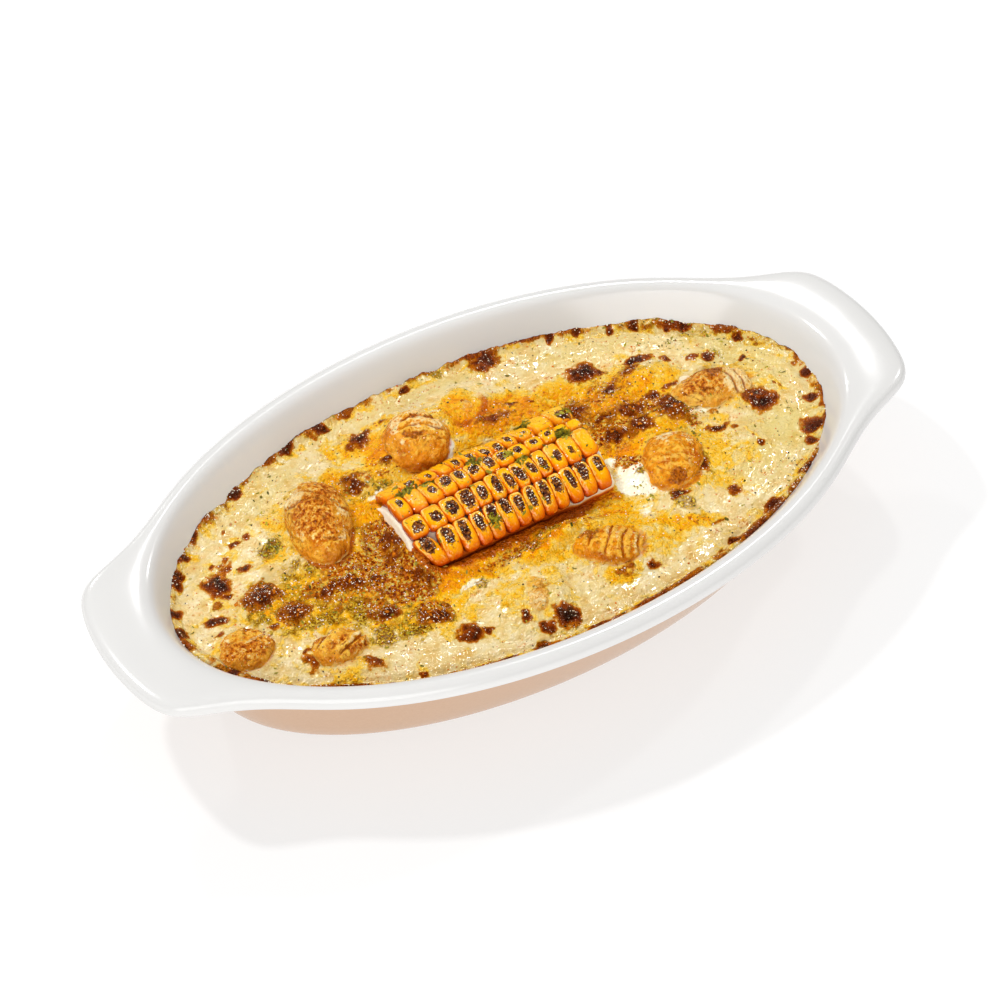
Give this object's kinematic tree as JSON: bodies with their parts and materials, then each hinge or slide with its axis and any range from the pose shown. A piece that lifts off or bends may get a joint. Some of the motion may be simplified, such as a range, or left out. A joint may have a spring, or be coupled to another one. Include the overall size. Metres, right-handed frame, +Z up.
{
  "type": "gnocchi in corn cream in an oval gratin dish",
  "caption": "Oval gratin dish with tab handles, full of browned corn cream with gnocchi standing out of it and a charred corn rib lying on top.",
  "frame": {"origin": "middle of the foot ring, on the surface that the dish stands on", "axes": "+X along the dish's long axis towards one handle, +Z up"},
  "size_m": [0.244, 0.128, 0.0431],
  "materials": {
    "glaze": "glossy white glaze, warm sand on the outside",
    "cream": "wet baked cream with brown spots",
    "corn": "buttered and charred kernels",
    "gnocchi": "baked, dusted and half dry"
  },
  "bodies": {
    "root": {"dish": "glaze", "cream_sauce": "cream", "corn_rib": "corn", "gnocco_01": "gnocchi", "gnocco_02": "gnocchi", "gnocco_03": "gnocchi", "gnocco_04": "gnocchi", "gnocco_05": "gnocchi", "gnocco_06": "gnocchi", "gnocco_07": "gnocchi", "gnocco_08": "gnocchi", "gnocco_09": "gnocchi"}
  },
  "joints": []
}
